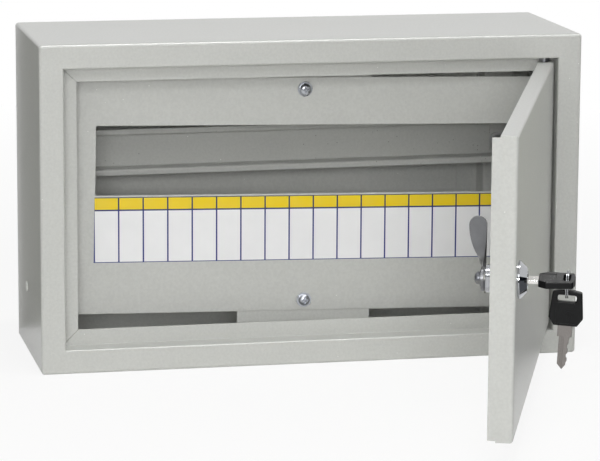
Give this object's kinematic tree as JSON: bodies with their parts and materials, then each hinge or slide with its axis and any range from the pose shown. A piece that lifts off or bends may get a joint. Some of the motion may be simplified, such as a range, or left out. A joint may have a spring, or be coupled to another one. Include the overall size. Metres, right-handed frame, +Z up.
{
  "type": "steel wall enclosure",
  "caption": "Wall-mounted sheet-steel enclosure for a row of modular devices, with a side-hinged keyed door and an inner cover with a window.",
  "frame": {"origin": "centre of the wall-hole pattern, on the outer face of the back panel", "axes": "+X to the right seen from the front, +Y into the wall, +Z up"},
  "size_m": [0.4081, 0.4689, 0.2434],
  "materials": {
    "case_paint": "fine orange-peel powder coat, semi-matt",
    "door_paint": "fine orange-peel powder coat, semi-matt",
    "cover_paint": "fine orange-peel powder coat, semi-matt",
    "inner_paint": "powder coat, semi-matt",
    "marking_film": "printed film, satin",
    "zinc_screw": "bright zinc plating",
    "zinc_plate": "dull zinc plating",
    "brass_bar": "drawn brass, satin",
    "neutral_holder": "moulded polyamide, blue",
    "earth_holder": "moulded polyamide, green",
    "lock_chrome": "polished chrome plating",
    "cam_steel": "dark zinc plating",
    "key_nickel": "milled nickel silver",
    "key_plastic": "moulded black plastic, satin",
    "ring_steel": "bright nickel plating",
    "plug_plastic": "moulded plastic, pale"
  },
  "bodies": {
    "case": {"case_shell": "case_paint", "back_panel": "inner_paint", "hinge_pin_top": "zinc_plate", "hinge_pin_bottom": "zinc_plate", "side_plug": "plug_plastic", "cover_bracket_top": "inner_paint", "cover_bracket_bottom": "inner_paint", "inner_cover": "cover_paint", "marking_strip": "marking_film", "cover_screws": "zinc_screw", "cover_washers": "zinc_screw", "cover_nuts": "zinc_plate", "upright_left": "inner_paint", "upright_right": "inner_paint", "rail_standoff_left": "zinc_plate", "rail_standoff_right": "zinc_plate", "standoff_screws": "zinc_screw", "standoff_nuts": "zinc_plate", "mounting_rail": "inner_paint", "rail_screws": "zinc_screw", "rail_washers": "zinc_screw", "rail_nuts": "zinc_plate", "rail_plates": "inner_paint", "neutral_bar": "brass_bar", "neutral_bar_screws": "zinc_screw", "neutral_bar_holders": "neutral_holder", "earth_bar": "brass_bar", "earth_bar_screws": "zinc_screw", "earth_bar_holders": "earth_holder", "holder_screws": "zinc_screw", "case_earth_stud": "zinc_plate", "case_earth_nut": "zinc_plate"},
    "door": {"door_panel": "door_paint", "door_earth_stud": "zinc_plate", "door_earth_nut": "zinc_plate", "lock_body": "lock_chrome", "lock_washer": "zinc_plate", "lock_nut": "zinc_plate"},
    "lock_cylinder": {"lock_cylinder": "lock_chrome", "lock_stop_washer": "zinc_plate", "lock_cam": "cam_steel", "cam_washer": "zinc_plate", "cam_screw": "zinc_screw"},
    "key": {"key_blade": "key_nickel", "key_bow": "key_plastic"},
    "key_ring": {"key_ring": "ring_steel"},
    "spare_key": {"spare_key_blade": "key_nickel", "spare_key_bow": "key_plastic"}
  },
  "joints": [
    {"name": "door_hinge", "type": "hinge", "parent": "case", "child": "door", "pos_m": [0.1765, -0.1296, 0], "axis": [0, 0, 1], "range_deg": [-69.8, 30]},
    {"name": "lock_turn", "type": "hinge", "parent": "door", "child": "lock_cylinder", "pos_m": [0.06736, -0.44768, 0.0032], "axis": [0.9385, -0.3453, 0], "range_deg": [-7, 83]},
    {"name": "key_slide", "type": "slide", "parent": "lock_cylinder", "child": "key", "axis": [0.9385, -0.3453, 0], "range_m": [0, 0.022]},
    {"name": "ring_swing", "type": "hinge", "parent": "key", "child": "key_ring", "pos_m": [0.09951, -0.45093, 0.00419], "axis": [0.9385, -0.3453, 0], "range_deg": [-25, 25]},
    {"name": "spare_swing", "type": "hinge", "parent": "key_ring", "child": "spare_key", "pos_m": [0.09951, -0.45093, -0.00904], "axis": [-0.3453, -0.9385, 0], "range_deg": [-21.8, 60]}
  ]
}
